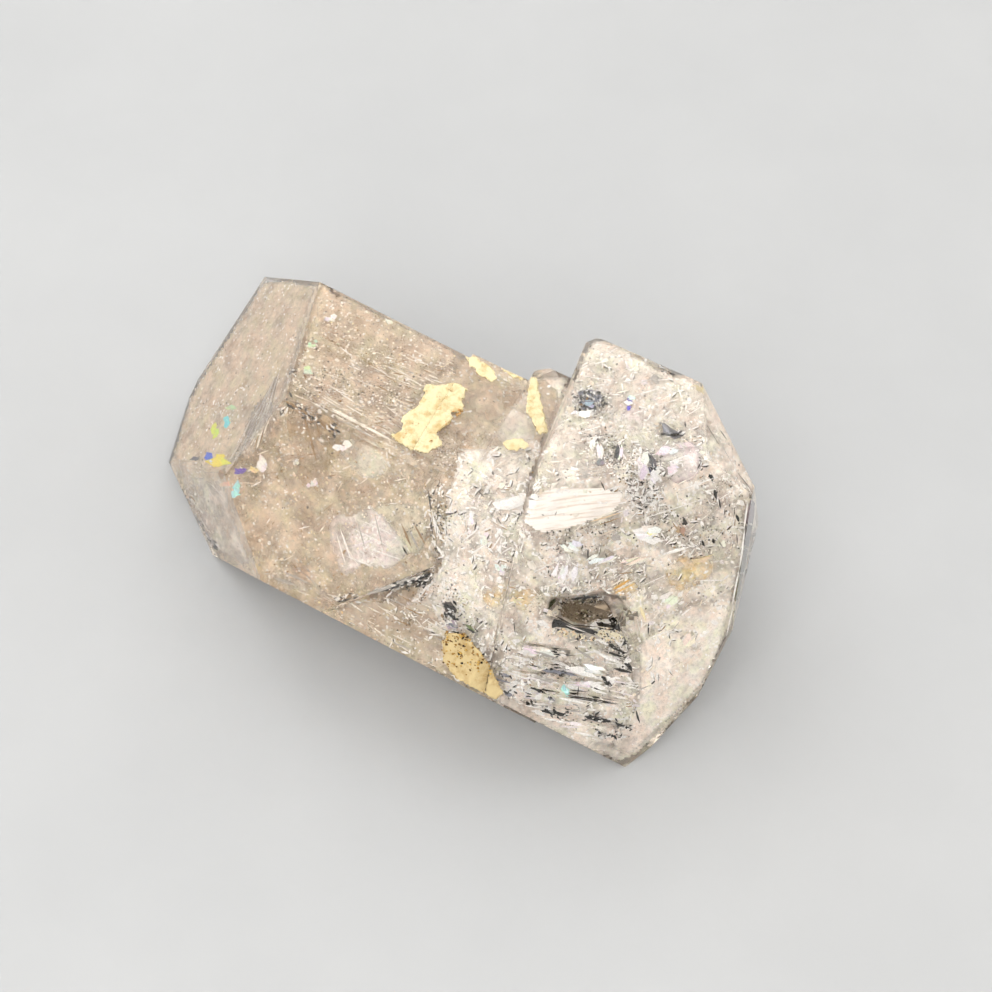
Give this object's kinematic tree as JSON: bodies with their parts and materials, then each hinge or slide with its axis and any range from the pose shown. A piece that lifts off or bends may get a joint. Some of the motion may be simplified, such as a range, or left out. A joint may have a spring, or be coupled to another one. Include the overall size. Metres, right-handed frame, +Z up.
{
  "type": "skeletal quartz crystal",
  "caption": "Clear doubly terminated skeletal quartz crystal of joined individuals, with stepped faces, a window and growth ledges, lying on a prism face.",
  "frame": {"origin": "middle of the bounding box, at the level of the prism face that the crystal lies on", "axes": "+X along the c-axis towards the larger individual, +Y to the back, +Z up"},
  "size_m": [0.0398, 0.0226, 0.0192],
  "materials": {
    "quartz": "clear pale champagne quartz with smooth, lustrous, stepped faces",
    "inclusions": "silvery and dark healed fractures, veils and flakes sealed inside the quartz",
    "clay": "matt, crumbly yellow ochre clay crust"
  },
  "bodies": {
    "root": {"quartz_crystal": "quartz"}
  },
  "joints": []
}
